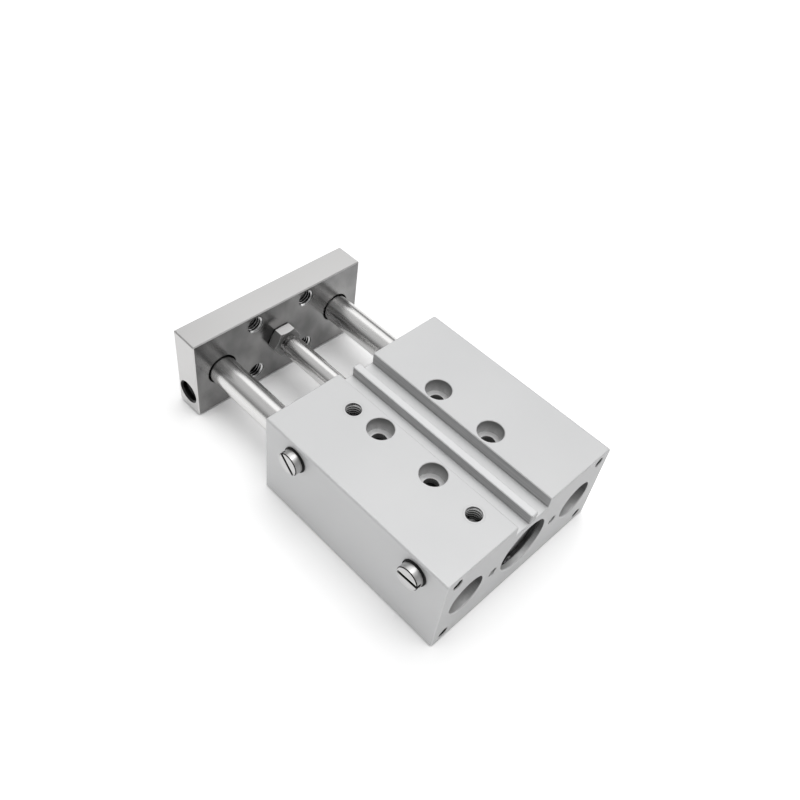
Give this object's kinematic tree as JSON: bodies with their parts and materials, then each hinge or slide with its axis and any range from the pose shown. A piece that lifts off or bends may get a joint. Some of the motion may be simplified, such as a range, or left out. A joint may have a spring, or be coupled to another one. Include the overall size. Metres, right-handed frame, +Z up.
{
  "type": "guided pneumatic cylinder",
  "caption": "Compact guided pneumatic cylinder: an aluminium block with a piston rod between parallel guide rods that carry a rectangular end plate.",
  "frame": {"origin": "centre of the four mounting holes, on the underside of the body", "axes": "+Y along the stroke from the body towards the end plate, +Z up through the mounting holes, +X to the right when looking along +Y"},
  "size_m": [0.0604, 0.0974, 0.0265],
  "materials": {
    "anodised_aluminium": "matte clear anodised extrusion",
    "plate_steel": "ground and plated steel",
    "chromed_rod": "ground and hard chromed",
    "nut_steel": "zinc plated steel",
    "spring_steel": "black oxided spring steel",
    "plug_steel": "nickel plated",
    "bearing_bronze": "sintered bronze",
    "seal_rubber": "black nitrile rubber",
    "felt": "oiled wool felt",
    "wear_resin": "filled acetal",
    "magnet": "bonded magnet",
    "screw_steel": "black oxided alloy steel",
    "turned_aluminium": "turned and anodised"
  },
  "bodies": {
    "housing": {"body_block": "anodised_aluminium", "port_plug_front": "plug_steel", "port_plug_rear": "plug_steel", "plug_gasket_front": "seal_rubber", "plug_gasket_rear": "seal_rubber", "guide_bush_front_left": "bearing_bronze", "guide_bush_front_right": "bearing_bronze", "guide_bush_rear_left": "bearing_bronze", "guide_bush_rear_right": "bearing_bronze", "guide_felt_left": "felt", "guide_felt_right": "felt", "felt_holder_left": "turned_aluminium", "felt_holder_right": "turned_aluminium", "rod_cover": "turned_aluminium", "rod_cover_oring": "seal_rubber", "rod_cover_ring": "spring_steel", "rod_seal": "seal_rubber", "rear_cap": "turned_aluminium", "rear_cap_oring": "seal_rubber", "rear_cap_ring": "spring_steel"},
    "slide_unit": {"end_plate": "plate_steel", "guide_rod_left": "chromed_rod", "guide_rod_right": "chromed_rod", "guide_rod_bolts": "screw_steel", "piston_rod": "chromed_rod", "jam_nut": "nut_steel", "piston": "turned_aluminium", "piston_seal": "seal_rubber", "magnet_ring": "magnet", "wear_ring": "wear_resin", "piston_nut": "nut_steel", "bumper_front": "seal_rubber", "bumper_rear": "seal_rubber"}
  },
  "joints": [
    {"name": "stroke", "type": "slide", "parent": "housing", "child": "slide_unit", "axis": [0, 1, 0], "range_m": [-0.025, 0]}
  ]
}
